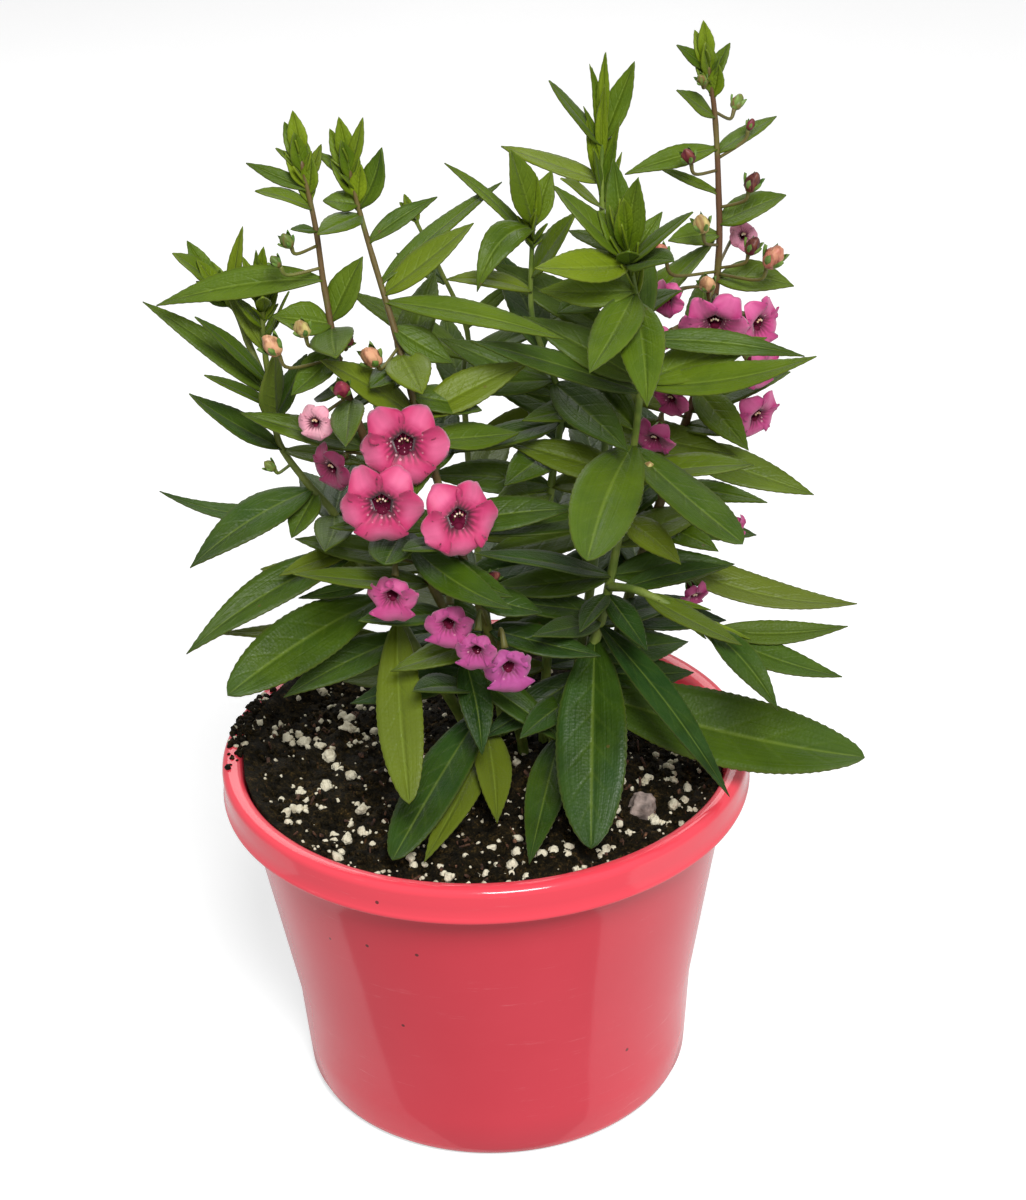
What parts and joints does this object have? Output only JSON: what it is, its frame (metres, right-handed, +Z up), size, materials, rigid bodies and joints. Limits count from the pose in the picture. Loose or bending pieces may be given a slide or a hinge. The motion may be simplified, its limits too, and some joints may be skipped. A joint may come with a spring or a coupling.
{
  "type": "potted flowering plant",
  "caption": "Angelonia in flower in a squat round plastic nursery pot: slender leafy stems with pink two-lipped blooms and buds, standing in dark potting mix.",
  "frame": {"origin": "middle of the pot's flat foot, on the surface it stands on", "axes": "+Z up along the pot's axis; the pictured side looks towards -Y, with +X to the right"},
  "size_m": [0.1743, 0.14, 0.2828],
  "materials": {
    "pot_plastic": "coral red moulded plastic, satin gloss, faint scuffs",
    "potting_mix": "moist dark peat with white perlite grains and bark",
    "foliage": "waxy green leaves with a paler midrib, green stems",
    "petals": "soft matt pink petals, darker at the throat"
  },
  "bodies": {
    "root": {"pot": "pot_plastic", "soil": "potting_mix", "left_spire": "foliage", "left_twin": "foliage", "left_low": "foliage", "back_left": "foliage", "back_young": "foliage", "tall_centre": "foliage", "front_star": "foliage", "right_raceme": "foliage", "left_spire_bloom_1": "petals", "left_spire_bloom_2": "petals", "left_spire_bloom_3": "petals", "left_spire_bloom_4": "petals", "left_spire_bloom_5": "petals", "left_twin_bloom_1": "petals", "left_twin_bloom_2": "petals", "left_twin_bloom_3": "petals", "left_twin_bloom_4": "petals", "right_raceme_bloom_1": "petals", "right_raceme_bloom_2": "petals", "right_raceme_bloom_3": "petals", "right_raceme_bloom_4": "petals", "right_raceme_bloom_5": "petals", "right_raceme_bloom_6": "petals", "right_raceme_bloom_7": "petals", "right_raceme_bloom_8": "petals", "right_raceme_bloom_9": "petals", "right_raceme_bloom_10": "petals", "right_raceme_bloom_11": "petals", "right_raceme_bloom_12": "petals"}
  },
  "joints": []
}
